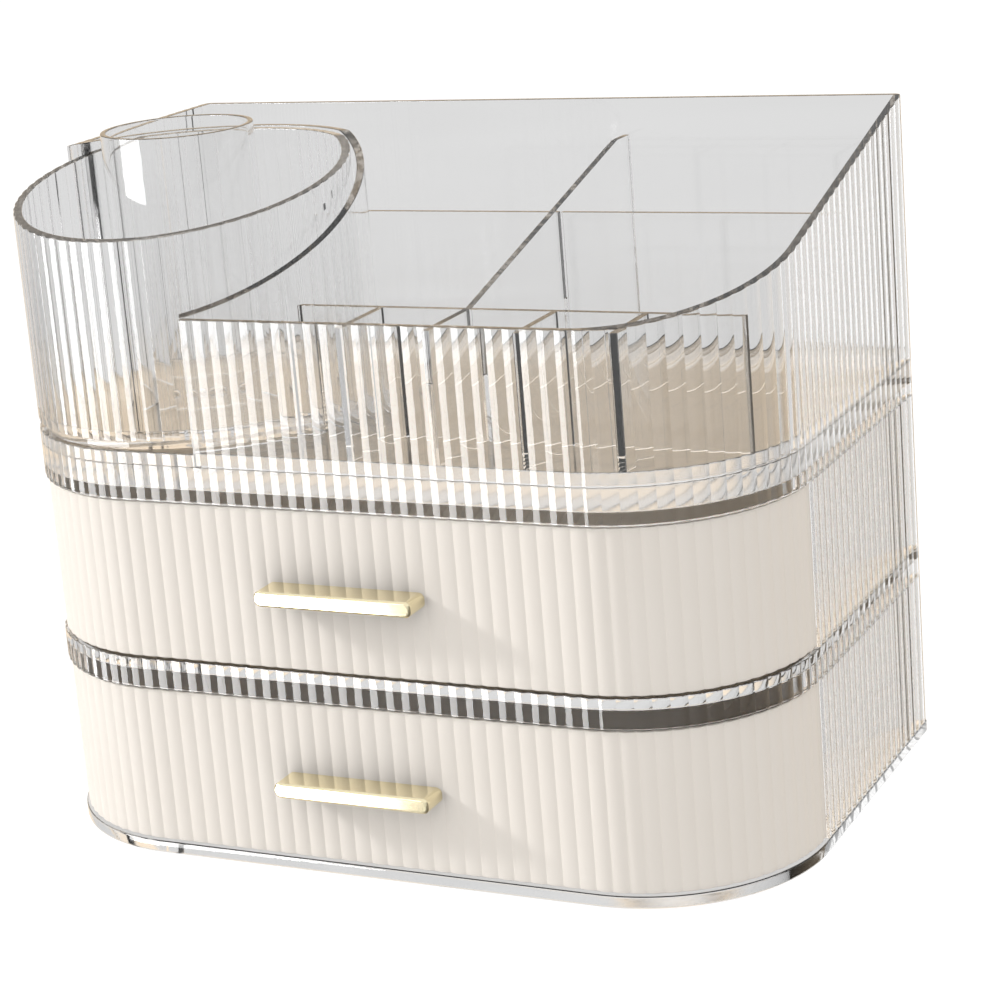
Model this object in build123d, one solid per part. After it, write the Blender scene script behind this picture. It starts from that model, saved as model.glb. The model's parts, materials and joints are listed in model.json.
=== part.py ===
from build123d import *
import os
from math import cos, radians, sin, sqrt

# A clear reeded makeup box: two pull-out drawers, a divided tray on top of them
# and a brush drum that turns in the tray's front left corner.
# Millimetres. X to the right, Y to the back, Z up. The pieces are drawn round the middle of the case;
# at the end they move back a little, so that the origin lies under the middle of the whole object.

# Plan of the case: large corners at the front, small ones at the back
case_width = 292.0
case_depth = 181.0
front_corner_radius = 61.0
back_corner_radius = 3.0
least_corner_radius = 0.5

# Clear walls and the upright reeds on the outside of the front and the sides; the back is plain
wall = 3.0
reed_pitch = 6.0
reed_depth = 0.3

# Heights of the layers, from the table upwards
foot_drop = 1.0
base_thickness = 4.5
bay_height = 58.6
middle_shelf_height = 11.3
top_shelf_height = 13.2
shelf_plate = 4.6
tray_floor_thickness = 4.5
tray_front_height = 51.9
tray_back_height = 97.7

# Feet
foot_side = 14.0
foot_inset = 34.0

# Drawers: a plain box behind a reeded front that wraps round both front corners, just inside the clear outline
front_wrap = 63.0
front_recess = 1.0
front_gap = 0.5
slide_gap = 0.4
box_wall = 2.0
box_floor = 2.0
box_height = 48.0
front_lap = 12.0

# Bar handles and the screws that hold them from inside the drawer
handle_length = 60.0
handle_depth = 11.0
handle_height = 5.6
handle_corner_radius = 2.2
handle_bevel = 0.9
screw_spacing = 30.4
screw_radius = 1.6
screw_clearance = 0.2
screw_bite = 6.0
screw_head_radius = 3.0
screw_head_height = 1.8
screw_sides = 8

# Brush drum, the turntable under it and the wall that cradles it
drum_inset = 0.1
drum_wall = 3.2
drum_floor = 3.0
drum_front_height = 70.5
drum_back_height = 89.5
drum_slope_share = 0.84
drum_lift = 0.3
turntable_height = 3.0
turntable_step = 2.5
pivot_radius = 6.0
pivot_fit = 0.1
pivot_height = 2.6
cradle_gap = 1.7
cradle_wall = 2.8
pocket_start_angle = 163.0
pocket_end_angle = 297.0

# Tall tube inside the drum
tube_radius = 27.3
tube_wall = 2.0
tube_height = 97.0

# Dividers of the tray
divider_thickness = 2.4
slot_gap = 0.2
cell_count = 5
left_cell_count = 2
cell_depth = 29.5
rack_height = 45.6
middle_divider_setback = 49.6
middle_divider_height = 63.0
long_divider_rear_height = 79.4
long_divider_rear_flat = 12.0

# How far cutting shapes run past what they cut
overrun = 5.0

# Levels worked out from the heights
lower_bay = foot_drop + base_thickness
middle_shelf_level = lower_bay + bay_height
upper_bay = middle_shelf_level + middle_shelf_height
top_shelf_level = upper_bay + bay_height
tray_level = top_shelf_level + top_shelf_height
tray_floor_level = tray_level + tray_floor_thickness
tray_front_level = tray_level + tray_front_height
tray_back_level = tray_level + tray_back_height
turntable_level = tray_floor_level + turntable_height
drum_level = turntable_level + drum_lift
drum_floor_level = drum_level + drum_floor
drum_front_level = drum_level + drum_front_height
drum_back_level = drum_level + drum_back_height
rack_level = tray_floor_level + rack_height

# Plan places worked out from the sizes
half_width = case_width / 2
half_depth = case_depth / 2
front_inside = -half_depth + wall
back_inside = half_depth - wall
front_face = -half_depth + front_recess
split_y = -half_depth + front_wrap
box_inset = wall + slide_gap
corner_x = half_width - front_corner_radius
corner_y = -half_depth + front_corner_radius
drum_x = -corner_x
drum_y = corner_y
drum_radius = front_corner_radius - drum_inset
cradle_inner_radius = drum_radius + cradle_gap
cradle_outer_radius = cradle_inner_radius + cradle_wall
rack_front = front_inside + cell_depth
rack_back = rack_front + divider_thickness
middle_divider_front = drum_y + middle_divider_setback
middle_divider_back = middle_divider_front + divider_thickness


def plan_edges(inset):
    """The case outline as tangent arcs and lines, counter-clockwise, moved inwards by inset."""
    x = half_width - inset
    y = half_depth - inset
    front = max(front_corner_radius - inset, least_corner_radius)
    back = max(back_corner_radius - inset, least_corner_radius)
    return [
        CenterArc((front - x, front - y), front, 180, 90),
        Line((front - x, -y), (x - front, -y)),
        CenterArc((x - front, front - y), front, 270, 90),
        Line((x, front - y), (x, y - back)),
        CenterArc((x - back, y - back), back, 0, 90),
        Line((x - back, y), (back - x, y)),
        CenterArc((back - x, y - back), back, 90, 90),
        Line((-x, y - back), (-x, front - y)),
    ]


def plan(inset):
    """The area inside the case outline, moved inwards by inset."""
    return make_face(plan_edges(inset))


def reeds(path):
    """A row of half-round reeds along a counter-clockwise path.

    The reeds touch the path with their crests, and the valleys between them lie reed_depth inside it.
    """
    arcs = []
    for edge in path:
        count = max(1, round(edge.length / reed_pitch))
        for k in range(count):
            start = valley(edge, k / count)
            crest = edge @ ((k + 0.5) / count)
            end = valley(edge, (k + 1) / count)
            arcs.append(ThreePointArc(start, crest, end))
    return arcs


def valley(edge, share):
    """The valley point beside the place that lies at this share of the edge's length."""
    along = edge % share
    return edge @ share + Vector(-along.Y, along.X) * reed_depth


def layer(area, low, high):
    """A flat area at its place in plan, made solid from one height to another."""
    return extrude(Pos(0, 0, low) * area, high - low, dir=(0, 0, 1))


def rectangle(left, right, front, back):
    """A rectangle in plan between two X and two Y places."""
    middle = Pos((left + right) / 2, (front + back) / 2)
    return middle * Rectangle(right - left, back - front)


def side_plate(points, left, right):
    """An outline of (Y, Z) points, made solid from one X place to another."""
    outline = make_face(Polyline(*points, close=True))
    return extrude(Plane.YZ.offset(left) * outline, right - left, dir=(1, 0, 0))


def disc(radius, low, high):
    """A cylinder on the drum's axis."""
    return layer(Pos(drum_x, drum_y) * Circle(radius), low, high)


def reeded_plan(inset):
    """The outline with reeds along its front and sides and a plain back, moved inwards by inset."""
    crests = plan_edges(inset)
    plain = plan_edges(inset + reed_depth)
    return make_face(reeds(crests[:4]) + plain[4:7] + reeds(crests[7:]))


case_plan = reeded_plan(0)


def ahead_of(y):
    """All of the plan in front of a Y place."""
    return rectangle(-case_width, case_width, -case_depth, y)


def drum_pocket():
    """The open corner of the tray in which the drum shows, as a wedge from the drum's axis."""
    turn = pocket_end_angle - pocket_start_angle
    far = [pocket_start_angle + turn * step / 3 for step in range(4)]
    tips = [(drum_x + case_width * cos(radians(a)), drum_y + case_width * sin(radians(a))) for a in far]
    return make_face(Polyline((drum_x, drum_y), *tips, close=True))


def base_plate():
    """Flat bottom plate with a smooth edge."""
    return layer(plan(0), foot_drop, lower_bay)


def rubber_feet():
    """Four square pads stuck under the base plate."""
    x = half_width - foot_inset
    y = half_depth - foot_inset
    places = [(-x, -y), (x, -y), (-x, y), (x, y)]
    return [layer(Pos(px, py) * Rectangle(foot_side, foot_side), 0, foot_drop) for px, py in places]


def bay_walls(low):
    """Left, back and right walls of a drawer bay in one piece, reeded outside at the sides."""
    area = case_plan - plan(wall) - ahead_of(split_y + front_gap)
    return layer(area, low, low + bay_height)


def shelf(low, height):
    """A plate with a reeded skirt below its edge, which closes the bay under it."""
    block = layer(case_plan, low, low + height)
    return block - layer(plan(wall), low - overrun, low + height - shelf_plate)


def drawer_front(bay):
    """Reeded front that wraps round both corners and meets the bay walls edge to edge."""
    area = (reeded_plan(front_recess) - plan(box_inset)) & ahead_of(split_y)
    front = layer(area, bay + front_gap, bay + bay_height - front_gap)
    return front - handle_screws(bay, screw_clearance)


def drawer_box(bay):
    """Floor, sides and back of a drawer; the sides lap the inside of the front, which closes the box."""
    low = bay + slide_gap
    block = layer(plan(box_inset), low, low + box_height)
    inside = plan(box_inset + box_wall) + (plan(box_inset) & ahead_of(split_y - front_lap))
    return block - layer(inside, low + box_floor, low + box_height + overrun)


def handle_centre(bay):
    """Height of a drawer's handle and screws, half way up the bay."""
    return bay + bay_height / 2


def handle(bay):
    """Polished bar with rounded corners and a bevelled front, flat against the crests of the reeds."""
    bar = Box(handle_length, handle_depth, handle_height)
    bar = fillet(bar.edges().filter_by(Axis.Y), handle_corner_radius)
    bar = chamfer(bar.faces().sort_by(Axis.Y)[0].edges(), handle_bevel)
    bar = Pos(0, front_face - handle_depth / 2, handle_centre(bay)) * bar
    return bar - handle_screws(bay, screw_clearance)


def handle_screws(bay, swell):
    """Two screws from inside the drawer into the handle; swell widens the shanks for their holes.

    They are small and hidden, so their rounds have only a few sides.
    """
    seat = -half_depth + box_inset
    tip = front_face - screw_bite - swell
    shank = RegularPolygon(screw_radius + swell, screw_sides)
    head = RegularPolygon(screw_head_radius, screw_sides)
    screws = []
    for x in (-screw_spacing / 2, screw_spacing / 2):
        base = Plane((x, seat, handle_centre(bay)), z_dir=(0, 1, 0))
        screws.append(extrude(base * shank, tip - seat) + extrude(base * head, screw_head_height))
    return screws


def tray_floor():
    """Floor of the tray, which runs out to the reeded outline under the drum."""
    area = plan(wall) + (case_plan & drum_pocket())
    return layer(area, tray_level, tray_floor_level)


def tray_walls():
    """Tray wall in one strip, high at the left and back, sloping down the right side to the front."""
    strip = layer(case_plan - plan(wall) - drum_pocket(), tray_level, tray_back_level)
    strip -= disc(cradle_inner_radius, tray_floor_level, tray_back_level + overrun)
    above = [
        (-half_depth - overrun, tray_front_level),
        (front_inside, tray_front_level),
        (back_inside, tray_back_level),
        (back_inside, tray_back_level + overrun),
        (-half_depth - overrun, tray_back_level + overrun),
    ]
    return strip - side_plate(above, drum_x, half_width + overrun)


def drum_cradle():
    """Curved wall round the back and right of the drum, from the left wall to the front wall."""
    ring = Pos(drum_x, drum_y) * (Circle(cradle_outer_radius) - Circle(cradle_inner_radius))
    area = (ring & plan(wall)) - drum_pocket()
    curved = layer(area, tray_floor_level, tray_back_level)
    above = [
        (-half_depth, tray_front_level),
        (front_inside, tray_front_level),
        (middle_divider_front, tray_back_level),
        (middle_divider_front, tray_back_level + overrun),
        (-half_depth, tray_back_level + overrun),
    ]
    return curved - side_plate(above, drum_x, drum_x + cradle_outer_radius + overrun)


def rack_cells():
    """X places of the dividers between the lipstick cells, evenly spaced from the cradle to the corner."""
    left = drum_x + sqrt(cradle_outer_radius**2 - (rack_front - drum_y) ** 2)
    right = corner_x + sqrt((front_corner_radius - wall) ** 2 - (rack_front - corner_y) ** 2)
    return [left + (right - left) * cell / cell_count for cell in range(1, cell_count)]


def long_divider_x():
    """X place of the divider that runs from the front of the tray to its back."""
    return rack_cells()[left_cell_count - 1]


def cross_plate(front, back, height):
    """An upright plate across the tray, from the cradle to the right wall, with a slot for the long divider."""
    area = rectangle(drum_x, half_width, front, back) & plan(wall)
    area -= Pos(drum_x, drum_y) * Circle(cradle_outer_radius)
    middle = tray_floor_level + height / 2
    top = tray_floor_level + height
    half_slot = divider_thickness / 2 + slot_gap
    slot = rectangle(long_divider_x() - half_slot, long_divider_x() + half_slot, front - overrun, back + overrun)
    return layer(area, tray_floor_level, top) - layer(slot, middle, top + overrun)


def rack_panel():
    """Low plate behind the lipstick cells."""
    return cross_plate(rack_front, rack_back, rack_height)


def middle_divider():
    """Plate between the middle and the rear compartments."""
    return cross_plate(middle_divider_front, middle_divider_back, middle_divider_height)


def rack_dividers():
    """Short plates between the lipstick cells, apart from the long divider."""
    plates = []
    for x in rack_cells():
        if x != long_divider_x():
            half = divider_thickness / 2
            area = rectangle(x - half, x + half, -half_depth, rack_front) & plan(wall)
            plates.append(layer(area, tray_floor_level, rack_level))
    return plates


def long_divider():
    """Plate from front to back: level beside the cells, then sloping up and level again at the back wall.

    It drops over the two cross plates, so it is slotted from below where they are slotted from above.
    """
    rear_level = tray_floor_level + long_divider_rear_height
    profile = [
        (front_inside, tray_floor_level),
        (back_inside, tray_floor_level),
        (back_inside, rear_level),
        (back_inside - long_divider_rear_flat, rear_level),
        (rack_back, rack_level),
        (front_inside, rack_level),
    ]
    half = divider_thickness / 2
    left = long_divider_x() - half
    right = long_divider_x() + half
    plate = side_plate(profile, left, right)
    for front, back, height in (
        (rack_front, rack_back, rack_height),
        (middle_divider_front, middle_divider_back, middle_divider_height),
    ):
        slot = rectangle(left - overrun, right + overrun, front - slot_gap, back + slot_gap)
        plate -= layer(slot, tray_floor_level - overrun, tray_floor_level + height / 2)
    return plate


def turntable():
    """Raised disc under the drum with the spigot that it turns on."""
    table = disc(drum_radius - turntable_step, tray_floor_level, turntable_level)
    return table + disc(pivot_radius, turntable_level, turntable_level + pivot_height)


def brush_drum():
    """Reeded cup whose rim slopes down to the front, with a hole in its floor for the spigot."""
    outside = make_face(reeds([CenterArc((drum_x, drum_y), drum_radius, 0, 360)]))
    cup = layer(outside, drum_level, drum_back_level)
    cup -= disc(drum_radius - drum_wall, drum_floor_level, drum_back_level + overrun)
    cup -= disc(pivot_radius + pivot_fit, drum_level - overrun, drum_floor_level)
    front = drum_y - drum_radius
    level_from = front + 2 * drum_radius * drum_slope_share
    above = [
        (front - overrun, drum_front_level),
        (front, drum_front_level),
        (level_from, drum_back_level),
        (level_from, drum_back_level + overrun),
        (front - overrun, drum_back_level + overrun),
    ]
    return cup - side_plate(above, drum_x - front_corner_radius, drum_x + front_corner_radius)


def drum_tube():
    """Plain open tube for long brushes, which stands higher than the drum."""
    top = drum_floor_level + tube_height
    return disc(tube_radius, drum_floor_level, top) - disc(
        tube_radius - tube_wall, drum_floor_level - overrun, top + overrun
    )


def parts():
    """Every piece of the box by its name."""
    pieces = {
        "base_plate": base_plate(),
        "rubber_feet": rubber_feet(),
        "lower_walls": bay_walls(lower_bay),
        "middle_shelf": shelf(middle_shelf_level, middle_shelf_height),
        "upper_walls": bay_walls(upper_bay),
        "top_shelf": shelf(top_shelf_level, top_shelf_height),
        "tray_floor": tray_floor(),
        "tray_walls": tray_walls(),
        "drum_cradle": drum_cradle(),
        "rack_panel": rack_panel(),
        "rack_dividers": rack_dividers(),
        "middle_divider": middle_divider(),
        "long_divider": long_divider(),
        "turntable": turntable(),
        "brush_drum": brush_drum(),
        "drum_tube": drum_tube(),
    }
    for level, bay in (("lower", lower_bay), ("upper", upper_bay)):
        pieces[f"{level}_drawer_front"] = drawer_front(bay)
        pieces[f"{level}_drawer_box"] = drawer_box(bay)
        pieces[f"{level}_handle"] = handle(bay)
        pieces[f"{level}_handle_screws"] = handle_screws(bay, 0)
    return pieces


def placed(shape):
    """A piece, or a group of like pieces, moved to its place in the object's own frame."""
    to_middle = Pos(0, (handle_depth - front_recess) / 2, 0)
    if isinstance(shape, list):
        return Compound(children=[to_middle * solid for solid in shape])
    return to_middle * shape


os.makedirs("parts", exist_ok=True)
for node, shape in parts().items():
    export_step(placed(shape), f"parts/{node}.step")
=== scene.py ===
# %% [markdown]
# # A clear reeded makeup box
# The object is a cosmetics box for a dresser: two drawers with cream fronts and pale gold bars, a divided clear
# tray on top, and a clear brush drum that turns in the tray's front left corner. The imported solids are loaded
# first, because every piece below takes its place and its levels from them. Everything is in metres.

# %% Load the solids
import json
from math import cos, hypot, pi, radians, sin
import bmesh
import bpy
from mathutils import Matrix, Vector


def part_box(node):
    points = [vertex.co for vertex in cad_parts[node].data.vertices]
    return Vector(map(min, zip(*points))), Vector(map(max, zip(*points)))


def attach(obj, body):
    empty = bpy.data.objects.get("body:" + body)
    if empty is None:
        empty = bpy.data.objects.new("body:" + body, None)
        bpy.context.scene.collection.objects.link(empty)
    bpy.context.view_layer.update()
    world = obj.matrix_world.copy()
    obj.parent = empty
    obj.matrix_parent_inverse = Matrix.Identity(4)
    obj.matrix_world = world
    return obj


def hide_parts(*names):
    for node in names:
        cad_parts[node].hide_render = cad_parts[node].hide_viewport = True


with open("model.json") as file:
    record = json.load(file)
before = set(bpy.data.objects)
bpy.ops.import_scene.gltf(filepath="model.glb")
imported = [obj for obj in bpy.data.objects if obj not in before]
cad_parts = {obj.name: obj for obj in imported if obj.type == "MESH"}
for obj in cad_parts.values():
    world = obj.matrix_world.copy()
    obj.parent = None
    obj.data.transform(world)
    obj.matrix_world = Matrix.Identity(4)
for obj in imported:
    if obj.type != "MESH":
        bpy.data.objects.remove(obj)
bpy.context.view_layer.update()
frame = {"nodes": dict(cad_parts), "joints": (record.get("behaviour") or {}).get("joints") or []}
MM = 0.001
scene = bpy.context.scene

# %% [markdown]
# ## The camera
# The picture looks at the box from its right front corner and a little from above, through a long lens held
# slightly crooked. Three angles, a place and a focal length say all of it. They were fitted to where the corners and
# seams of the solids should fall in the picture, so that a piece that looks misplaced is wrong in shape, not in view.

# %% Camera
def look(turn, rise, roll):
    """The camera's axes: its right, its up and the way back from the object."""
    back = Vector((sin(turn) * cos(rise), -cos(turn) * cos(rise), sin(rise)))
    right = Vector((cos(turn), sin(turn), 0))
    up = back.cross(right)
    return right * cos(roll) + up * sin(roll), up * cos(roll) - right * sin(roll), back


camera_turn, camera_rise, camera_roll = radians(26.496), radians(15.079), radians(-4.699)
camera_place = (0.4407, -0.84638, 0.38925)
lens = bpy.data.cameras.new("camera")
lens.lens = 99.149
lens.sensor_width = 36
lens.shift_y = -0.05
lens.clip_start = 0.05
camera = bpy.data.objects.new("camera", lens)
axes = Matrix(look(camera_turn, camera_rise, camera_roll)).transposed()
camera.matrix_world = Matrix.Translation(camera_place) @ axes.to_4x4()
scene.collection.objects.link(camera)
scene.camera = camera
print("camera at", [round(v, 3) for v in camera.location])

# %% [markdown]
# ## Writing nodes as sums
# Materials and shapes both come from node trees. One small class wraps a socket, so that a sum on two sockets adds
# its Math nodes, and one method adds any other node with its settings and the values or links of its sockets.

# %% Node helpers
class Wire:
    """One output of a node. Arithmetic on it adds Math nodes to its tree."""

    def __init__(self, board, socket):
        self.board = board
        self.socket = socket

    def math(self, operation, *values):
        return self.board.node("ShaderNodeMath", {"operation": operation}, dict(enumerate(values)))[0]

    def __add__(self, other):
        return self.math("ADD", self, other)

    def __sub__(self, other):
        return self.math("SUBTRACT", self, other)

    def __rsub__(self, other):
        return self.math("SUBTRACT", other, self)

    def __mul__(self, other):
        return self.math("MULTIPLY", self, other)

    __radd__ = __add__
    __rmul__ = __mul__

    def fraction(self):
        return self.math("FRACT", self)

    def over(self, level):
        return self.math("GREATER_THAN", self, level)

    def ramp(self, low, high, start=0.0, end=1.0):
        """This value, from low to high, spread smoothly from start to end."""
        values = {"Value": self, "From Min": low, "From Max": high, "To Min": start, "To Max": end}
        return self.board.node("ShaderNodeMapRange", {"interpolation_type": "SMOOTHSTEP"}, values)[0]


class Outputs:
    """A node's outputs, by name or number, as wires."""

    def __init__(self, board, node):
        self.board = board
        self.node = node

    def __getitem__(self, key):
        return Wire(self.board, self.node.outputs[key])


class Board:
    """A node tree that is being written."""

    def __init__(self, tree):
        self.tree = tree
        tree.nodes.clear()

    def node(self, kind, settings=None, inputs=None):
        made = self.tree.nodes.new(kind)
        for key, value in (settings or {}).items():
            setattr(made, key, value)
        for key, value in (inputs or {}).items():
            if isinstance(value, Wire):
                self.tree.links.new(value.socket, made.inputs[key])
            else:
                made.inputs[key].default_value = value
        return Outputs(self, made)

    def mix(self, share, first, second):
        """Two colours mixed by a share from 0 to 1."""
        return self.node("ShaderNodeMix", {"data_type": "RGBA"}, {0: share, 6: first, 7: second})[2]

    def vector(self, operation, first, second):
        return self.node("ShaderNodeVectorMath", {"operation": operation}, {0: first, 1: second})[0]

    def scaled(self, vector, size):
        return self.node("ShaderNodeVectorMath", {"operation": "SCALE"}, {0: vector, "Scale": size})[0]


def colour(red, green, blue):
    """A colour given in 0 to 255 as it looks on a screen, as the linear colour that nodes use."""
    linear = [v / 255 / 12.92 if v <= 10 else ((v / 255 + 0.055) / 1.055) ** 2.4 for v in (red, green, blue)]
    return (*linear, 1.0)


print("node helpers ready")

# %% [markdown]
# ## Clear plastic
# The box is moulded in clear styrene. It is a true refracting solid here, so light bends at every face. The cut rims
# of walls and dividers look dark on the real thing, because light that enters them is led down inside the sheet. Few
# samples carry that well, so that shade is painted into the rims' colour as a dark tint, a lighter one on the drum's
# thicker rim. Moulded plastic is never quite flat: a weak, wide ripple bends its normal, and dust and handling change
# its roughness.

# %% Clear plastic
def material(name):
    """A new material with a Principled shader, its board and that shader."""
    made = bpy.data.materials.new(name)
    made.use_nodes = True
    board = Board(made.node_tree)
    shader = board.node("ShaderNodeBsdfPrincipled")
    board.node("ShaderNodeOutputMaterial", {}, {"Surface": shader[0]})
    return made, board, shader.node


def feed(board, shader, **values):
    """Values or wires for the shader's sockets, named with _ in place of spaces."""
    for key, value in values.items():
        socket = shader.inputs[key.replace("_", " ")]
        if isinstance(value, Wire):
            board.tree.links.new(value.socket, socket)
        else:
            socket.default_value = value


def noise(board, size, detail=2.0, stretch=(1, 1, 1)):
    """Smooth noise in the object's own coordinates, with patches of about this size in metres."""
    place = board.node("ShaderNodeTexCoord")["Object"]
    place = board.vector("MULTIPLY", place, stretch)
    settings = {"Vector": place, "Scale": 1 / size, "Detail": detail, "Roughness": 0.5}
    return board.node("ShaderNodeTexNoise", {}, settings)["Fac"]


def bump(board, height, strength, depth):
    """A bumped normal from a height wire."""
    return board.node("ShaderNodeBump", {}, {"Strength": strength, "Distance": depth, "Height": height})[0]


def rim_shade_mask(board):
    """Where the painted rim shade goes: 1 on the upward edges of walls and dividers, all of which end above the tray's
    floor, and 0 elsewhere.
    """
    facing = board.node("ShaderNodeSeparateXYZ", {}, {0: board.node("ShaderNodeNewGeometry")["Normal"]})
    place = board.node("ShaderNodeSeparateXYZ", {}, {0: board.node("ShaderNodeTexCoord")["Object"]})
    return facing["Z"].ramp(0.2, 0.7) * place["Z"].ramp(0.17, 0.18)


def clear_plastic(name, tint, rim, ripple):
    """Clear moulded plastic with a faint tint, painted shade on the cut rims and a wide ripple."""
    made, board, shader = material(name)
    dust = noise(board, 0.004, 1.0).ramp(0.55, 0.8)
    haze = noise(board, 0.05, 0.0)
    body = board.mix(haze, colour(*tint), colour(*(min(255, v + 4) for v in tint)))
    # Painted shade: the cut rims get a dark tint, mottled lighter, for the light that is led away inside the sheet.
    edge = board.mix(noise(board, 0.003, 0.0).ramp(0.4, 0.6), colour(*rim), colour(*(v + 60 for v in rim)))
    feed(
        board,
        shader,
        Base_Color=board.mix(rim_shade_mask(board), body, edge),
        Roughness=0.008 + 0.01 * haze + 0.02 * dust,
        IOR=1.5,
        Transmission_Weight=1.0,
        Normal=bump(board, noise(board, 0.03, 0.0), ripple, 0.0004),
    )
    return made


clear_tint = (251, 251, 251)
ripple = 0.06
# The third colour is the painted shade on the cut rims, lighter on the drum's thicker rim.
clear = clear_plastic("clear_plastic", clear_tint, (66, 54, 40), ripple)
clear_drum = clear_plastic("clear_drum", clear_tint, (160, 150, 138), ripple)
print("made", clear.name, "and", clear_drum.name)

# %% [markdown]
# ## Cream plastic, pale gold, steel and rubber
# The drawers are opaque cream plastic with a satin skin. The bars are polished pale gold, with fine lines along
# their length from the polishing wheel. Screws and pads hardly show, but get their own finishes.

# %% Other finishes
def cream_plastic(name, deep, pale):
    """Satin cream plastic with a soft clouding and the fine grain of its mould."""
    made, board, shader = material(name)
    cloud = noise(board, 0.035, 3.0)
    grain = noise(board, 0.0007, 2.0)
    feed(
        board,
        shader,
        Base_Color=board.mix(cloud, colour(*deep), colour(*pale)),
        Roughness=0.5 + 0.1 * cloud,
        Specular_IOR_Level=0.1,
        Normal=bump(board, grain, 0.05, 0.00008),
    )
    return made


def pale_gold():
    """Polished pale gold with faint lines along the bar."""
    made, board, shader = material("pale_gold")
    lines = noise(board, 0.0006, 3.0, (0.04, 1, 1))
    cloud = noise(board, 0.02, 2.0)
    feed(
        board,
        shader,
        Base_Color=board.mix(cloud, colour(244, 230, 188), colour(250, 240, 206)),
        Metallic=1.0,
        Roughness=0.03 + 0.05 * lines + 0.02 * cloud,
        Normal=bump(board, lines, 0.06, 0.00003),
    )
    return made


def plated_steel():
    """Zinc-plated screws, dull and slightly patchy."""
    made, board, shader = material("plated_steel")
    patch = noise(board, 0.0015, 3.0)
    feed(
        board,
        shader,
        Base_Color=board.mix(patch, colour(176, 178, 182), colour(206, 207, 205)),
        Metallic=1.0,
        Roughness=0.25 + 0.25 * patch,
    )
    return made


def soft_pads():
    """Milky rubber with a matt, slightly grainy skin."""
    made, board, shader = material("soft_pads")
    grain = noise(board, 0.0009, 3.0)
    feed(
        board,
        shader,
        Base_Color=board.mix(grain, colour(206, 206, 203), colour(224, 224, 221)),
        Roughness=0.55 + 0.25 * grain,
        Normal=bump(board, grain, 0.2, 0.0001),
    )
    return made


cream = cream_plastic("cream_plastic", (246, 238, 228), (250, 243, 234))
cream_inside = cream_plastic("cream_inside", (250, 238, 220), (252, 243, 229))
gold = pale_gold()
steel = plated_steel()
pads = soft_pads()
print("made", [m.name for m in (cream, cream_inside, gold, steel, pads)])

# %% [markdown]
# ## The outline and its reeds
# Seen from above, the box has two large corners in front and two small ones at the back. Upright half-round reeds
# run round its front and sides, and the back is plain. Every level has the same reeds in line, so one path serves
# them all: each point knows its place, the way inwards, and how many reeds it has passed.

# %% Outline
half_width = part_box("base_plate")[1].x
outline_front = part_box("base_plate")[0].y
outline_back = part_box("base_plate")[1].y
front_radius = 61 * MM
back_radius = 3 * MM
wall = 3 * MM
reeds_on = (16, 28, 16, 20, 0, 0, 0, 20)
steps_per_reed = 8
corner_steps = 8


def edges(inset):
    """The outline's eight edges, counter-clockwise from the front left corner, as functions of a share 0 to 1."""
    left, right = -half_width + inset, half_width - inset
    front, back = outline_front + inset, outline_back - inset
    big, small = front_radius - inset, max(back_radius - inset, 0.2 * MM)

    def arc(x, y, radius, start):
        def at(share):
            angle = radians(start + 90 * share)
            return (x + radius * cos(angle), y + radius * sin(angle), -cos(angle), -sin(angle))

        return at

    def line(x0, y0, x1, y1):
        long = hypot(x1 - x0, y1 - y0)
        inward = (-(y1 - y0) / long, (x1 - x0) / long)

        def at(share):
            return (x0 + (x1 - x0) * share, y0 + (y1 - y0) * share, *inward)

        return at

    return [
        arc(left + big, front + big, big, 180),
        line(left + big, front, right - big, front),
        arc(right - big, front + big, big, 270),
        line(right, front + big, right, back - small),
        arc(right - small, back - small, small, 0),
        line(right - small, back, left + small, back),
        arc(left + small, back - small, small, 90),
        line(left, back - small, left, front + big),
    ]


def stretch(inset, number, start=0.0, end=1.0, reeded=True):
    """Points along one edge: x, y, the way inwards, and the number of reeds passed; .5 is a crest, 0 a valley."""
    at = edges(inset)[number]
    reeds = reeds_on[number]
    steps = reeds * steps_per_reed or (corner_steps if number in (4, 6) else 1)
    inner = [k / steps for k in range(steps + 1) if start < k / steps < end]
    shares = [start, *inner, end]
    return [(*at(s), reeds * s if reeded else 0.5) for s in shares]


def joined(*runs):
    """Several stretches as one path, without the doubled points where they meet."""
    path = []
    for point in (p for run in runs for p in run):
        if not path or hypot(point[0] - path[-1][0], point[1] - path[-1][1]) > 0.01 * MM:
            path.append(point)
    return path


def closed(path):
    """A closed path, whose last point isn't its first again."""
    near = hypot(path[0][0] - path[-1][0], path[0][1] - path[-1][1]) < 0.01 * MM
    return path[:-1] if near else path


whole_outline = closed(joined(*[stretch(0, n) for n in range(8)]))
print("outline:", len(whole_outline), "points,", sum(reeds_on), "reeds")

# %% [markdown]
# ## A section that is swept round a path
# Walls, skirts, plates, drum and tube are all one section carried round one path, so one Geometry Nodes tree makes
# them. It sweeps the section, sinks the outer skin between the reeds, and lowers the rim along a slope. The section
# and the path are plain lines of vertices, which carry what the tree needs as attributes.

# %% Sweep tree
def named(board, name, kind="FLOAT"):
    """The value of a named attribute."""
    return board.node("GeometryNodeInputNamedAttribute", {"data_type": kind}, {"Name": name})["Attribute"]


def stored(board, geometry, name, value, kind="FLOAT"):
    """The geometry with a value stored on its points."""
    settings = {"data_type": kind, "domain": "POINT"}
    inputs = {"Geometry": geometry, "Name": name, "Value": value}
    return board.node("GeometryNodeStoreNamedAttribute", settings, inputs)[0]


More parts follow.
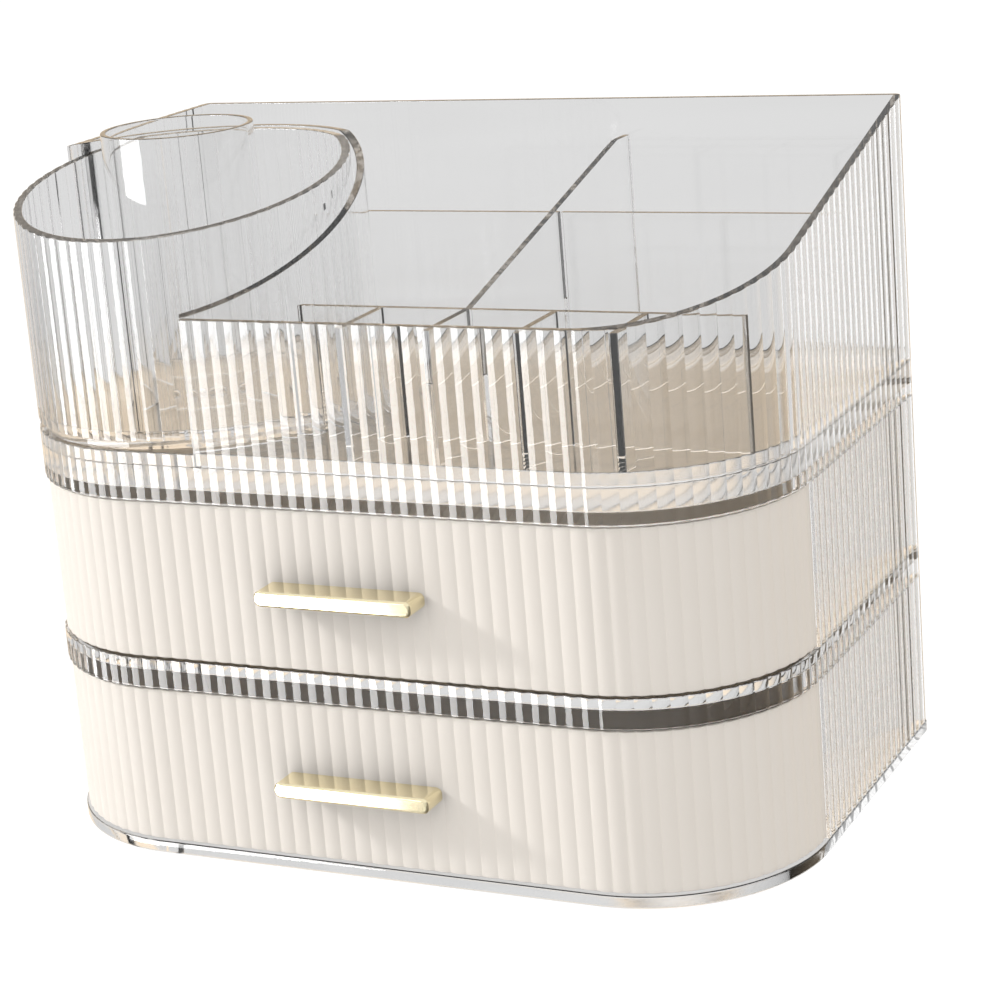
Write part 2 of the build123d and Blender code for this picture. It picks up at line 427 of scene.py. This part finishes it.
def add_inputs(tree, inputs):
    """Named inputs for a tree, and one geometry output. Returns each input's identifier."""
    tree.interface.new_socket("Geometry", in_out="OUTPUT", socket_type="NodeSocketGeometry")
    tree.interface.new_socket("Geometry", in_out="INPUT", socket_type="NodeSocketGeometry")
    kinds = {"Section": "NodeSocketObject", "Finish": "NodeSocketMaterial"}
    found = {}
    for name in inputs:
        kind = kinds.get(name, "NodeSocketFloat")
        found[name] = tree.interface.new_socket(name, in_out="INPUT", socket_type=kind).identifier
    return found


def sweep_tree():
    """The tree that sweeps a section round a path, with reeds and a sloping rim."""
    tree = bpy.data.node_groups.new("reeded_sweep", "GeometryNodeTree")
    board = Board(tree)
    inputs = add_inputs(
        tree,
        ["Section", "Finish", "Reed depth", "Slope side", "Slope front", "Slope back", "Front rim", "Back rim"],
    )
    given = board.node("NodeGroupInput")
    here = board.node("GeometryNodeInputPosition")[0]
    path = board.node("GeometryNodeMeshToCurve", {}, {"Mesh": given["Geometry"]})[0]
    path = stored(board, path, "place", here, "FLOAT_VECTOR")
    shape = board.node("GeometryNodeObjectInfo", {}, {"Object": given["Section"]})["Geometry"]
    shape = board.node("GeometryNodeMeshToCurve", {}, {"Mesh": shape})[0]
    shape = stored(board, shape, "spot", here, "FLOAT_VECTOR")
    lines = {"Curve": path, "Profile Curve": shape, "Fill Caps": True}
    carried = board.node("GeometryNodeCurveToMesh", {}, lines)[0]
    spot = board.node("ShaderNodeSeparateXYZ", {}, {0: named(board, "spot", "FLOAT_VECTOR")})
    across = spot["X"] + named(board, "skin") * given["Reed depth"] * valley_depth(board)
    inward = board.scaled(named(board, "inward", "FLOAT_VECTOR"), across)
    flat = board.vector("ADD", named(board, "place", "FLOAT_VECTOR"), inward)
    plan = board.node("ShaderNodeSeparateXYZ", {}, {0: flat})
    drop = rim_drop(board, given, plan) * named(board, "rim")
    raised = board.node("ShaderNodeCombineXYZ", {}, {"Z": spot["Y"] - drop})[0]
    moved = {"Geometry": carried, "Position": board.vector("ADD", flat, raised)}
    settled = board.node("GeometryNodeSetPosition", {}, moved)[0]
    real = board.node("GeometryNodeRealizeInstances", {}, {"Geometry": settled})[0]
    painted = board.node("GeometryNodeSetMaterial", {}, {"Geometry": real, "Material": given["Finish"]})[0]
    board.node("NodeGroupOutput", {}, {"Geometry": painted})
    return tree, inputs


def valley_depth(board):
    """0 at the crest of a reed and 1 in the valley beside it."""
    side = 2 * named(board, "reeds").fraction() - 1
    return side * side


def rim_drop(board, given, plan):
    """How far the rim lies under its highest level, by the slope from front to back."""
    limits = {
        "Value": plan["Y"],
        "From Min": given["Slope front"],
        "From Max": given["Slope back"],
        "To Min": given["Back rim"] - given["Front rim"],
        "To Max": 0.0,
    }
    sloped = board.node("ShaderNodeMapRange", {"clamp": True}, limits)[0]
    return sloped * plan["X"].over(given["Slope side"])


sweep, sweep_inputs = sweep_tree()
print("sweep tree:", len(sweep.nodes), "nodes, inputs", list(sweep_inputs))

# %% [markdown]
# ## Sections with soft edges
# No moulded edge is perfectly sharp, and on clear plastic the small rounding is what catches the light. So each
# corner of a section is rounded by a few short steps. The outer corners are marked as skin, which takes the reeds,
# and the upper ones as rim, which takes the slope. Smooth shading would tilt the normals of the large flat faces
# next to a small rounding and bend the light there like a lens, so every piece gets normals weighted by face size.
# The valleys between reeds stay sharp, which draws the fine line that each of them has.

# %% Sections
weld = 0.002 * MM
skin_depth = 0.6 * MM
rim_share = 0.25
reed_sharp = 20
everywhere, nowhere = -1.0, 10.0  # x places past the box, right of which all or nothing slopes
sweep_layers = ("place", "spot", "inward", "reeds", "skin", "rim")


def rounded(corners, radius, is_closed=True, steps=3):
    """Corners (across, up) of a section in order, each rounded; the ends of an open section stay sharp."""
    points = []
    for k, corner in enumerate(corners):
        if not is_closed and k in (0, len(corners) - 1):
            points.append(corner)
            continue
        here = Vector(corner)
        before = (Vector(corners[k - 1]) - here).normalized() * radius
        after = (Vector(corners[(k + 1) % len(corners)]) - here).normalized() * radius
        for step in range(steps + 1):
            t = step / steps
            points.append(tuple(here + before * (1 - t) ** 2 + after * t**2))
    return points


def wall_section(thickness, low, high, radius=0.35 * MM):
    """A wall's section, from its outer skin inwards."""
    return rounded([(0, low), (thickness, low), (thickness, high), (0, high)], radius)


def line_object(name, points, is_closed, **values):
    """A line of vertices as a mesh, with one value per vertex for each named attribute."""
    mesh = bpy.data.meshes.new(name)
    ties = [(k, k + 1) for k in range(len(points) - 1)]
    if is_closed:
        ties.append((len(points) - 1, 0))
    mesh.from_pydata([(p[0], p[1], 0) for p in points], ties, [])
    for key, items in values.items():
        kind = "FLOAT_VECTOR" if isinstance(items[0], tuple) else "FLOAT"
        layer = mesh.attributes.new(key, kind, "POINT")
        layer.data.foreach_set("vector" if kind == "FLOAT_VECTOR" else "value", flat_list(items))
    made = bpy.data.objects.new(name, mesh)
    scene.collection.objects.link(made)
    return made


def flat_list(items):
    """Numbers, or tuples of numbers, as one list."""
    return [v for item in items for v in (item if isinstance(item, tuple) else (item,))]


def swept(name, path, section, finish, path_closed=True, section_closed=True, reed_depth=0.0, slope=None):
    """One finished mesh object: a section swept round a path."""
    high = max(p[1] for p in section)
    low = min(p[1] for p in section)
    skin = [1.0 if p[0] < skin_depth else 0.0 for p in section]
    rim = [1.0 if p[1] > high - rim_share * (high - low) else 0.0 for p in section]
    shape = line_object("section", section, section_closed, skin=skin, rim=rim)
    inward = [(p[2], p[3], 0.0) for p in path]
    track = line_object("track", path, path_closed, inward=inward, reeds=[p[4] for p in path])
    side, front, back, front_rim = slope or (nowhere, 0.0, 1.0, high)
    values = {
        "Section": shape,
        "Finish": finish,
        "Reed depth": reed_depth,
        "Slope side": side,
        "Slope front": front,
        "Slope back": back,
        "Front rim": front_rim,
        "Back rim": high,
    }
    mesh = evaluated(track, sweep, sweep_inputs, values)
    for spare in (track, shape):
        bpy.data.objects.remove(spare)
    return finished(name, mesh, finish, reed_sharp)


def evaluated(carrier, tree, inputs, values):
    """The plain mesh that a Geometry Nodes tree makes on an object."""
    modifier = carrier.modifiers.new("nodes", "NODES")
    modifier.node_group = tree
    for key, value in values.items():
        modifier[inputs[key]] = value
    mesh = plain_mesh(carrier)
    carrier.modifiers.remove(modifier)
    return mesh


def plain_mesh(carrier):
    """An object's mesh with its modifiers worked into it."""
    bpy.context.view_layer.update()
    graph = bpy.context.evaluated_depsgraph_get()
    return bpy.data.meshes.new_from_object(carrier.evaluated_get(graph))


def finished(name, mesh, finish, sharp=30):
    """Closes and smooths a mesh, turns its faces outwards and puts it in the scene."""
    shape = bmesh.new()
    shape.from_mesh(mesh)
    bmesh.ops.remove_doubles(shape, verts=shape.verts, dist=weld)
    bmesh.ops.holes_fill(shape, edges=[e for e in shape.edges if e.is_boundary], sides=0)
    bmesh.ops.recalc_face_normals(shape, faces=shape.faces)
    shape.to_mesh(mesh)
    open_edges = sum(not e.is_manifold for e in shape.edges)
    shape.free()
    for layer in [a.name for a in mesh.attributes if a.name in sweep_layers]:
        mesh.attributes.remove(mesh.attributes[layer])
    mesh.shade_smooth()
    mesh.set_sharp_from_angle(angle=radians(sharp))
    mesh.materials.clear()
    mesh.materials.append(finish)
    made = bpy.data.objects.new(name, mesh)
    scene.collection.objects.link(made)
    even = made.modifiers.new("even", "WEIGHTED_NORMAL")
    even.keep_sharp = True
    made.data = plain_mesh(made)
    made.modifiers.remove(even)
    print(f"{name}: {len(mesh.polygons)} faces, {open_edges} open edges")
    return made


def settle(piece, body, slot, *nodes):
    """The piece rides on its body and stands for its solids."""
    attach(piece, body)
    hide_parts(*nodes)


# %% [markdown]
# ## Drawer bays: base, walls and shelves
# The two bays are stacked: a plain base plate, a wall that runs round the left, back and right, and a shelf with
# a skirt that shows as a clear band between the drawer fronts. The reeds of all of them stand in line. A hair's
# breadth of air stays between the pieces, as between any two laid on each other, so their faces never coincide. The
# upper shelf has the thicker edge, because the light band over the upper front is the wider one.

# %% Bays
air = 0.03 * MM
lip = 2 * MM
visible_reed = 0.45 * MM
front_wrap_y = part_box("lower_walls")[0].y


def levels(node):
    """The lowest and highest Z of a solid, drawn in by a hair."""
    low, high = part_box(node)
    return low.z + air, high.z - air


def plate_section(low, high, radius=0.4 * MM):
    """The edge of a plate, from its top round to its underside; both faces are then filled."""
    return rounded([(lip, high), (0, high), (0, low), (lip, low)], radius, is_closed=False)


def shelf_section(low, high, plate, radius=0.4 * MM):
    """The edge of a shelf: its plate, and the skirt that hangs below it."""
    under = high - plate
    corners = [(lip, high), (0, high), (0, low), (wall, low), (wall, under), (wall + lip, under)]
    return rounded(corners, radius, is_closed=False)


def share_at(number, inset, value, axis):
    """The share of a straight edge at which it reaches an x (axis 0) or y (axis 1) place."""
    start, end = edges(inset)[number](0)[axis], edges(inset)[number](1)[axis]
    return (value - start) / (end - start)


def bay_path():
    """From the right split, round the back, to the left split."""
    right = share_at(3, 0, front_wrap_y, 1)
    left = share_at(7, 0, front_wrap_y, 1)
    return joined(stretch(0, 3, right, 1), *[stretch(0, n) for n in (4, 5, 6)], stretch(0, 7, 0, left))


plain_outline = closed(joined(*[stretch(0, n, reeded=False) for n in range(8)]))
base = swept("base", plain_outline, plate_section(*levels("base_plate"), 0.7 * MM), clear, section_closed=False)
settle(base, "case", "clear", "base_plate")
for level, shelf, edge in (("lower", "middle_shelf", 4.6 * MM), ("upper", "top_shelf", 8.6 * MM)):
    section = wall_section(wall, *levels(f"{level}_walls"))
    walls = swept(f"{level}_bay_walls", bay_path(), section, clear, path_closed=False, reed_depth=visible_reed)
    settle(walls, "case", "clear", f"{level}_walls")
    section = shelf_section(*levels(shelf), edge)
    plate = swept(f"{shelf}_plate", whole_outline, section, clear, section_closed=False, reed_depth=visible_reed)
    settle(plate, "case", "clear", shelf)

# %% [markdown]
# ## The tray
# The tray's wall is one strip that starts beside the drum's pocket in front, runs round the right side and the
# back, and ends at the pocket on the left. Its rim climbs from the low front to the high back. The floor fills it,
# and runs out to the reeded outline under the drum, where no wall stands. The floor is bonded to the shelf under it,
# so it sinks into it by a hair, and no film of air is left to mirror like glass.

# %% Tray
drum_axis = Vector(frame["joints"][2]["pos_m"])
cavity_radius = 62.6 * MM
pocket_left, pocket_front = 163, 297
left_angle, front_angle = radians(pocket_left), radians(pocket_front)
left_end = drum_axis.y - (half_width + drum_axis.x) * sin(left_angle) / cos(left_angle)
front_end = drum_axis.x + (outline_front - drum_axis.y) * cos(front_angle) / sin(front_angle)
left_share = share_at(7, 0, left_end, 1)
front_share = share_at(1, 0, front_end, 0)
front_height = 51.9 * MM
front_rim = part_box("tray_walls")[0].z + front_height
tray_slope = (drum_axis.x, outline_front + wall, outline_back - wall, front_rim)

tray_path = joined(
    stretch(0, 1, front_share, 1), *[stretch(0, n) for n in (2, 3, 4, 5, 6)], stretch(0, 7, 0, left_share)
)
section = wall_section(wall - air, *levels("tray_walls"), 0.4 * MM)
tray_wall = swept("tray_wall", tray_path, section, clear, path_closed=False, reed_depth=visible_reed, slope=tray_slope)
for vertex in tray_wall.data.vertices:
    out = vertex.co.xy - drum_axis.xy
    if out.length < cavity_radius:
        vertex.co.xy = drum_axis.xy + out.normalized() * cavity_radius
settle(tray_wall, "case", "clear", "tray_walls")

inner_left = share_at(7, wall, left_end, 1)
inner_front = share_at(1, wall, front_end, 0)
floor_path = closed(
    joined(
        stretch(0, 7, left_share, 1),
        stretch(0, 0),
        stretch(0, 1, 0, front_share),
        stretch(wall, 1, inner_front, 1, reeded=False),
        *[stretch(wall, n, reeded=False) for n in (2, 3, 4, 5, 6)],
        stretch(wall, 7, 0, inner_left, reeded=False),
    )
)
floor_low, floor_high = levels("tray_floor")
bonded_low = floor_low - 3 * air
section = plate_section(bonded_low, floor_high, 0.5 * MM)
tray_floor = swept("tray_floor_plate", floor_path, section, clear, section_closed=False, reed_depth=visible_reed)
settle(tray_floor, "case", "clear", "tray_floor")

# %% [markdown]
# ## The cradle round the drum
# A plain curved wall keeps the brushes apart from the rest. It starts flat against the left wall, goes round behind
# the drum, and comes down with the tray's slope to end against the front wall. It is swept too, without reeds, and
# its ends are pressed flat against the walls.

# %% Cradle
def ring_path(radius, start, end, steps):
    """Points round the drum's axis, counter-clockwise, without reeds."""
    path = []
    for k in range(steps + 1):
        angle = radians(start + (end - start) * k / steps)
        out = (cos(angle), sin(angle))
        path.append((drum_axis.x + radius * out[0], drum_axis.y + radius * out[1], -out[0], -out[1], 0.5))
    return path


cradle_wall = 2.8 * MM
cradle_slope = (drum_axis.x, outline_front + wall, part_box("middle_divider")[0].y, front_rim)
section = wall_section(cradle_wall, *levels("drum_cradle"), 0.4 * MM)
cradle_end = 158
path = ring_path(cavity_radius + cradle_wall, pocket_front - 360, cradle_end, 120)
cradle = swept("cradle", path, section, clear, path_closed=False, slope=cradle_slope)
for vertex in cradle.data.vertices:
    vertex.co.x = max(vertex.co.x, -half_width + wall + air)
    vertex.co.y = max(vertex.co.y, outline_front + wall + air)
settle(cradle, "case", "clear", "drum_cradle")

# %% [markdown]
# ## Dividers
# The dividers are flat plates that slot into each other. Their solids are right but razor sharp, so each is copied,
# its triangles are merged back into whole faces, and its edges are softened. The softened edges show the fine dark
# and bright lines that polished edges have.

# %% Softened copies
def softened(name, node, finish, radius, sharp=30):
    """A copy of a solid whose sharp edges are rounded a little."""
    shape = bmesh.new()
    shape.from_mesh(frame["nodes"][node].data)
    bmesh.ops.remove_doubles(shape, verts=shape.verts, dist=weld)
    bmesh.ops.dissolve_limit(shape, angle_limit=radians(1), verts=shape.verts, edges=shape.edges)
    corners = [e for e in shape.edges if e.is_manifold and e.calc_face_angle(0) > radians(35)]
    settings = {"segments": 2, "profile": 0.7, "affect": "EDGES", "clamp_overlap": True}
    bmesh.ops.bevel(shape, geom=corners, offset=radius, **settings)
    mesh = bpy.data.meshes.new(name)
    shape.to_mesh(mesh)
    shape.free()
    return finished(name, mesh, finish, sharp)


for node in ("rack_panel", "middle_divider", "rack_dividers", "long_divider"):
    settle(softened(f"{node}_plate", node, clear, 0.25 * MM), "case", "clear", node)
settle(softened("pads_under", "rubber_feet", pads, 0.3 * MM), "case", "pads", "rubber_feet")

# %% [markdown]
# ## The brush drum
# The drum is a reeded cup that turns on a spigot. Its rim slopes down to the front, so that short brushes can be
# reached. A plain tube stands inside it for the long ones. Cup, tube and turntable are sections swept round circles,
# and the section of the cup includes its floor, down to the hole for the spigot.

# %% Drum
def reeded_ring(radius, reeds):
    """A closed circle round the drum's axis with reeds along it."""
    steps = reeds * steps_per_reed
    path = closed(ring_path(radius, 0, 360, steps))
    return [(*point[:4], k / steps_per_reed) for k, point in enumerate(path)]


drum_radius = 60.9 * MM
drum_low, drum_high = levels("brush_drum")
hole_radius = 6.1 * MM
cup_inner = drum_radius - hole_radius
cup_wall = 3.2 * MM
cup_floor = drum_low + 3 * MM
cup_section = rounded(
    [
        (0, drum_low),
        (cup_inner, drum_low),
        (cup_inner, cup_floor),
        (cup_wall, cup_floor),
        (cup_wall, drum_high),
        (0, drum_high),
    ],
    0.45 * MM,
)
drum_front = drum_axis.y - drum_radius
slope_run = 0.84 * 2 * drum_radius
slope_fall = 19 * MM
drum_slope = (everywhere, drum_front, drum_front + slope_run, drum_high - slope_fall)
drum_reeds = 64
cup_path = reeded_ring(drum_radius, drum_reeds)
cup = swept("brush_cup", cup_path, cup_section, clear_drum, reed_depth=visible_reed, slope=drum_slope)
settle(cup, "drum", "clear", "brush_drum")

tube_radius = 27.3 * MM
section = wall_section(2 * MM, *levels("drum_tube"), 0.5 * MM)
tube = swept("brush_tube", closed(ring_path(tube_radius, 0, 360, 160)), section, clear)
settle(tube, "drum", "clear", "drum_tube")

table_low, table_high = levels("turntable")
table_radius = 58.4 * MM
spigot_radius = 6 * MM
spigot_height = 2.6 * MM
spigot_at = table_radius - spigot_radius
axis_at = table_radius - 0.1 * MM
shoulder = table_high - spigot_height
table_section = rounded(
    [
        (0, table_low),
        (axis_at, table_low),
        (axis_at, table_high),
        (spigot_at, table_high),
        (spigot_at, shoulder),
        (0, shoulder),
    ],
    0.08 * MM,
)
table = swept("drum_table", closed(ring_path(table_radius, 0, 360, 160)), table_section, clear)
settle(table, "case", "clear", "turntable")

# %% [markdown]
# ## Drawers
# A drawer front is a thin reeded shell that wraps round both front corners, one millimetre further in than the clear
# bands. It is swept along the same outline, so its reeds stand under and over those of the bands. Behind it is a
# plain cream box, which is a softened copy of its solid with its walls drawn up to just under the front's top edge.

# %% Drawers
recess = 1 * MM
front_thickness = 2.4 * MM
under_front = 0.6 * MM
rim_zone = 2 * MM
front_end_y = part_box("lower_drawer_front")[1].y
front_path = joined(
    stretch(recess, 7, share_at(7, recess, front_end_y, 1), 1),
    *[stretch(recess, n) for n in (0, 1, 2)],
    stretch(recess, 3, 0, share_at(3, recess, front_end_y, 1)),
)
for level in ("lower", "upper"):
    section = wall_section(front_thickness, *levels(f"{level}_drawer_front"), 0.5 * MM)
    front = swept(f"{level}_front", front_path, section, cream, path_closed=False, reed_depth=visible_reed)
    settle(front, f"{level}_drawer", "cream", f"{level}_drawer_front")
    inside = softened(f"{level}_box", f"{level}_drawer_box", cream_inside, 0.3 * MM)
    box_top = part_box(f"{level}_drawer_box")[1].z
    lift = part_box(f"{level}_drawer_front")[1].z - under_front - box_top
    for vertex in inside.data.vertices:
        if vertex.co.z > box_top - rim_zone:
            vertex.co.z += lift
    settle(inside, f"{level}_drawer", "cream", f"{level}_drawer_box")

# %% [markdown]
# ## Bar handles
# Each handle is a short bar with rounded ends and a narrow flat bevel round its front. It is drawn as a rounded
# rectangle seen from the front, and pulled out in a few steps. The last ones follow the bevel, whose own edges are
# eased by two short steps each, so that the polish runs over them.

# %% Handles
def rounded_rectangle(width, height, radius, steps):
    """Points round a rectangle with rounded corners, counter-clockwise."""
    points = []
    for quarter, (sx, sz) in enumerate(((1, -1), (1, 1), (-1, 1), (-1, -1))):
        for step in range(steps + 1):
            angle = radians(-90 + 90 * quarter + 90 * step / steps)
            x = sx * (width / 2 - radius) + radius * cos(angle)
            z = sz * (height / 2 - radius) + radius * sin(angle)
            points.append((x, z))
    return points


bar_corner = 2.2 * MM
bevel = ((0.8, 0), (0.7, 0.05), (0.05, 0.7), (0, 0.78), (0, 1.0))  # mm behind the front face, and mm of inset


def bar(name, node):
    """A bar handle: loops from the back to the bevelled front, closed at both ends."""
    low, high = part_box(node)
    centre = (low + high) / 2
    size = high - low
    shape = bmesh.new()
    loops = []
    steps = [(high.y, 0), (high.y - 0.3 * MM, 0), *[(low.y + back * MM, inset * MM) for back, inset in bevel]]
    for y, inset in steps:
        corner = bar_corner - inset * 0.6
        ring = rounded_rectangle(size.x - 2 * inset, size.z - 2 * inset, corner, 7)
        loops.append([shape.verts.new((centre.x + x, y, centre.z + z)) for x, z in ring])
    for first, second in zip(loops, loops[1:]):
        for k in range(len(first)):
            n = (k + 1) % len(first)
            shape.faces.new((first[k], first[n], second[n], second[k]))
    shape.faces.new(loops[0])
    shape.faces.new(loops[-1])
    mesh = bpy.data.meshes.new(name)
    shape.to_mesh(mesh)
    shape.free()
    return finished(name, mesh, gold, 40)


for level in ("lower", "upper"):
    settle(bar(f"{level}_bar", f"{level}_handle"), f"{level}_drawer", "gold", f"{level}_handle")

# %% [markdown]
# ## Screws
# Two screws hold each bar from inside the drawer. Only their heads can be seen, when a drawer is open. One screw
# with a domed, cross-slotted head is modelled, and a Geometry Nodes tree sets it at each place.

# %% Screws
def screw_shape(shank, bite, head, dome):
    """One screw along Y: a shank towards the front and a domed head with a crossed slot."""
    shape = bmesh.new()
    tip = [(0, -bite), (shank * 0.7, -bite), (shank, -bite + 0.8 * MM), (shank, 0)]
    cap = [(head, 0), (head, dome * 0.5), (head * 0.82, dome * 0.85), (head * 0.5, dome), (0, dome)]
    profile = tip + cap
    sides = 24
    loops = []
    for radius, y in profile:
        turn = [2 * pi * k / sides for k in range(sides)]
        loops.append([shape.verts.new((radius * cos(a), y, radius * sin(a))) for a in turn])
    for first, second in zip(loops, loops[1:]):
        for k in range(sides):
            shape.faces.new((first[k], first[(k + 1) % sides], second[(k + 1) % sides], second[k]))
    for vertex in loops[-2] + loops[-1]:
        near_cross = min(abs(vertex.co.x), abs(vertex.co.z)) < head * 0.14
        if near_cross:
            vertex.co.y -= dome * 0.45
    mesh = bpy.data.meshes.new("screw")
    shape.to_mesh(mesh)
    shape.free()
    return finished("screw", mesh, steel, 35)


def scatter_tree():
    """The tree that sets one shape on every point."""
    tree = bpy.data.node_groups.new("screws_on_points", "GeometryNodeTree")
    board = Board(tree)
    inputs = add_inputs(tree, ["Section", "Finish"])
    given = board.node("NodeGroupInput")
    shape = board.node("GeometryNodeObjectInfo", {}, {"Object": given["Section"], "As Instance": True})["Geometry"]
    spread = board.node("GeometryNodeInstanceOnPoints", {}, {"Points": given["Geometry"], "Instance": shape})[0]
    real = board.node("GeometryNodeRealizeInstances", {}, {"Geometry": spread})[0]
    painted = board.node("GeometryNodeSetMaterial", {}, {"Geometry": real, "Material": given["Finish"]})[0]
    board.node("NodeGroupOutput", {}, {"Geometry": painted})
    return tree, inputs


scatter, scatter_inputs = scatter_tree()
shank_radius, head_radius, head_height = 1.6 * MM, 3 * MM, 1.8 * MM
for level in ("lower", "upper"):
    low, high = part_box(f"{level}_handle_screws")
    one = screw_shape(shank_radius, high.y - low.y - head_height, head_radius, head_height)
    places = bpy.data.meshes.new("screw_places")
    seat = high.y - head_height
    middle = (low.z + high.z) / 2
    places.from_pydata([(low.x + head_radius, seat, middle), (high.x - head_radius, seat, middle)], [], [])
    carrier = bpy.data.objects.new("screw_places", places)
    scene.collection.objects.link(carrier)
    mesh = evaluated(carrier, scatter, scatter_inputs, {"Section": one, "Finish": steel})
    for spare in (carrier, one):
        bpy.data.objects.remove(spare)
    settle(finished(f"{level}_screws", mesh, steel, 35), f"{level}_drawer", "steel", f"{level}_handle_screws")

# %% [markdown]
# ## Floor and light
# The box stands on a wide pale floor in soft light from the upper left. Clear plastic looks like what is round it, so
# the world is bright above and in front, warm behind, and greyer at the sides, most of all on the right. The floor is
# two sheets: a white one for the camera, and one a hair lower for what is seen through the plastic and for the light
# that it returns. Two tall curved cards are only mirrored. They draw the white stripes on the reeds and on the bars,
# and the left one ends above what the base's edge mirrors. One look through the tray crosses a dozen clear faces, so
# the light's paths have to be long.

# %% Floor
def ground(name, level, pale, glow):
    """A wide square of floor at a level, with a faint mottling and a glow of its own, as from a lit white sweep."""
    far = 40
    mesh = bpy.data.meshes.new(name)
    corners = [(-far, -far, level), (far, -far, level), (far, far, level), (-far, far, level)]
    mesh.from_pydata(corners, [], [(0, 1, 2, 3)])
    made, board, shader = material(name)
    tone = board.mix(noise(board, 0.4, 2.0), colour(*pale), colour(*(v + 2 for v in pale)))
    feed(board, shader, Base_Color=tone, Roughness=0.85, Specular_IOR_Level=0.0, Emission_Color=tone)
    feed(board, shader, Emission_Strength=glow)
    mesh.materials.append(made)
    piece = bpy.data.objects.new(name, mesh)
    scene.collection.objects.link(piece)
    return piece


seen_floor = ground("floor", 0.0, (90, 90, 90), 9.3)
for kind in ("diffuse", "glossy", "transmission", "volume_scatter", "shadow"):
    setattr(seen_floor, f"visible_{kind}", False)
lower_floor = ground("floor_through_plastic", -0.0005, (40, 40, 40), 32.0)
lower_floor.visible_camera = False
lower_floor.visible_glossy = False
print("floor laid")

# %% Light
def studio_world():
    """Bright above and in front, warm behind, and greyer at the sides, most of all on the right."""
    world = bpy.data.worlds.new("studio")
    scene.world = world
    world.use_nodes = True
    board = Board(world.node_tree)
    way = board.node("ShaderNodeSeparateXYZ", {}, {0: board.node("ShaderNodeTexCoord")["Generated"]})
    left, right, front = colour(186, 183, 179), colour(118, 115, 111), colour(234, 234, 234)
    behind, above = (1.05, 0.86, 0.64, 1.0), (0.95, 0.95, 0.95, 1.0)
    sides = board.mix(way["X"].ramp(-0.4, 0.4), left, right)
    tone = board.mix((0 - way["Y"]).ramp(0.3, 0.9), sides, front)
    tone = board.mix(way["Y"].ramp(0.2, 0.7), tone, behind)
    tone = board.mix(way["Z"].ramp(0.25, 0.6), tone, above)
    light = board.node("ShaderNodeBackground", {}, {"Color": tone, "Strength": 1.0})[0]
    board.node("ShaderNodeOutputWorld", {}, {"Surface": light})


def softbox(name, place, target, size, power):
    """A square soft light that faces a target."""
    lamp = bpy.data.lights.new(name, "AREA")
    lamp.size = size
    lamp.energy = power
    made = bpy.data.objects.new(name, lamp)
    away = Vector(place) - Vector(target)
    made.matrix_world = Matrix.Translation(place) @ away.to_track_quat("Z", "Y").to_matrix().to_4x4()
    scene.collection.objects.link(made)


def light_card(name, start, end, strength, low=-2.5, high=2.5, radius=2.5, steps=24):
    """A tall curved card between two bearings in degrees, with 0 in front and left negative. It lights nothing."""
    bearings = [radians(start + (end - start) * k / steps) for k in range(steps + 1)]
    rows = [[(radius * sin(b), -radius * cos(b), z) for b in bearings] for z in (low, high)]
    faces = [(k, k + 1, steps + 2 + k, steps + 1 + k) for k in range(steps)]
    mesh = bpy.data.meshes.new(name)
    mesh.from_pydata(rows[0] + rows[1], [], faces)
    made = bpy.data.materials.new(name)
    made.use_nodes = True
    board = Board(made.node_tree)
    glow = board.node("ShaderNodeEmission", {}, {"Strength": strength})[0]
    board.node("ShaderNodeOutputMaterial", {}, {"Surface": glow})
    mesh.materials.append(made)
    card = bpy.data.objects.new(name, mesh)
    scene.collection.objects.link(card)
    for kind in ("camera", "diffuse", "transmission", "volume_scatter", "shadow"):
        setattr(card, f"visible_{kind}", False)


studio_world()
middle = (0, 0, 0.13)
light_card("card_left", -28.2, -64, 10, low=-0.97)
light_card("card_right", 150, 172, 2.0)
softbox("key", (-2.15, -0.73, 1.2), middle, 0.25, 26)
scene.view_settings.view_transform = "Standard"
cycles = scene.cycles
cycles.max_bounces = 36
cycles.transmission_bounces = 36
cycles.glossy_bounces = 24
cycles.caustics_reflective = False
cycles.diffuse_bounces = 8
cycles.sample_clamp_indirect = 6
cycles.use_denoising = True
